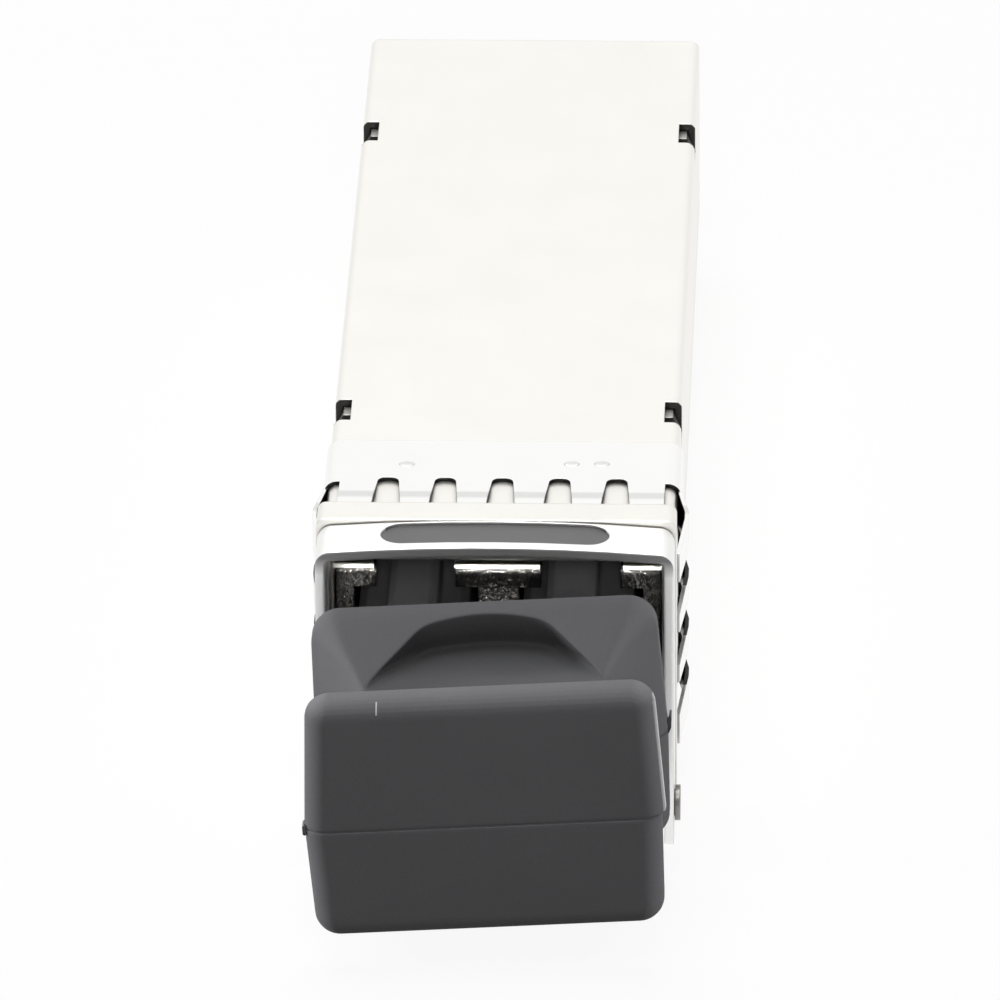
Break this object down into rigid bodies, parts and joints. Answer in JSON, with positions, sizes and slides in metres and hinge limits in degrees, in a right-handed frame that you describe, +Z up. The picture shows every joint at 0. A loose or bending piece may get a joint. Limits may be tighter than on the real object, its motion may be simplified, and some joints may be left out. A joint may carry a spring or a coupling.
{
  "type": "sfp plus transceiver module",
  "caption": "Plated metal pluggable optical transceiver with a spring-finger collar, a sheet bail, a latch lever and a dark rubber dust plug in its duplex fibre port.",
  "frame": {"origin": "middle of the footprint, at the lowest face of the head", "axes": "+Y into the cage, away from the fibre port; +Z up, away from the latch; +X to the right seen from the port"},
  "size_m": [0.0142, 0.062, 0.0125],
  "materials": {
    "cover_nickel": "satin nickel plate on stamped sheet",
    "plated_zinc": "satin nickel plate on die-cast zinc",
    "bright_nickel": "bright nickel plate on die-cast zinc",
    "collar_stainless": "bright rolled spring sheet",
    "bail_stainless": "bright rolled sheet",
    "inlay_enamel": "baked grey enamel",
    "pin_steel": "turned",
    "lever_steel": "stamped and tumbled",
    "spring_steel": "rolled strip",
    "board_green": "solder mask",
    "contact_gold": "gold flash",
    "barrel_steel": "turned",
    "can_gold": "gold flash",
    "sleeve_zirconia": "polished ceramic",
    "flex_polyimide": "smooth film",
    "gasket_rubber": "filled rubber sheet",
    "chip_black": "moulded epoxy",
    "capacitor_ceramic": "fired ceramic",
    "inductor_ferrite": "fired ferrite",
    "pad_silicone": "soft pad",
    "plug_rubber": "moulded, matt"
  },
  "bodies": {
    "module": {"top_cover": "cover_nickel", "base_housing": "plated_zinc", "lc_receptacle": "bright_nickel", "emi_collar": "collar_stainless", "latch_pivot_pin": "pin_steel", "optics_clamp": "lever_steel", "latch_spring": "spring_steel", "circuit_board": "board_green", "edge_contacts_upper": "contact_gold", "edge_contacts_lower": "contact_gold", "tosa_barrel": "barrel_steel", "rosa_barrel": "barrel_steel", "tosa_can": "can_gold", "rosa_can": "can_gold", "split_sleeves": "sleeve_zirconia", "tosa_flex": "flex_polyimide", "rosa_flex": "flex_polyimide", "optics_gasket": "gasket_rubber", "laser_driver": "chip_black", "receive_amplifier": "chip_black", "controller_chip": "chip_black", "small_capacitors": "capacitor_ceramic", "ferrite_inductors": "inductor_ferrite", "thermal_pad": "pad_silicone"},
    "plug": {"dust_plug": "plug_rubber"},
    "bail_assembly": {"bail": "bail_stainless", "bail_inlay": "inlay_enamel", "bail_cam_pin": "pin_steel"},
    "latch": {"latch_lever": "lever_steel"}
  },
  "joints": [
    {"name": "plug_pull", "type": "slide", "parent": "module", "child": "plug", "axis": [0, -1, 0], "range_m": [0, 0.02]},
    {"name": "bail_swing", "type": "hinge", "parent": "module", "child": "bail_assembly", "pos_m": [0, -0.01939, 0.0014], "axis": [1, 0, 0], "range_deg": [0, 10]},
    {"name": "latch_rock", "type": "hinge", "parent": "module", "child": "latch", "pos_m": [0, -0.00698, 0.0026], "axis": [-1, 0, 0], "range_deg": [0, 0.8], "stiffness_Nm_per_rad": 0.001}
  ],
  "couplings": [
    {"joint": "latch_rock", "follows": "bail_swing", "ratio": 0.075}
  ]
}
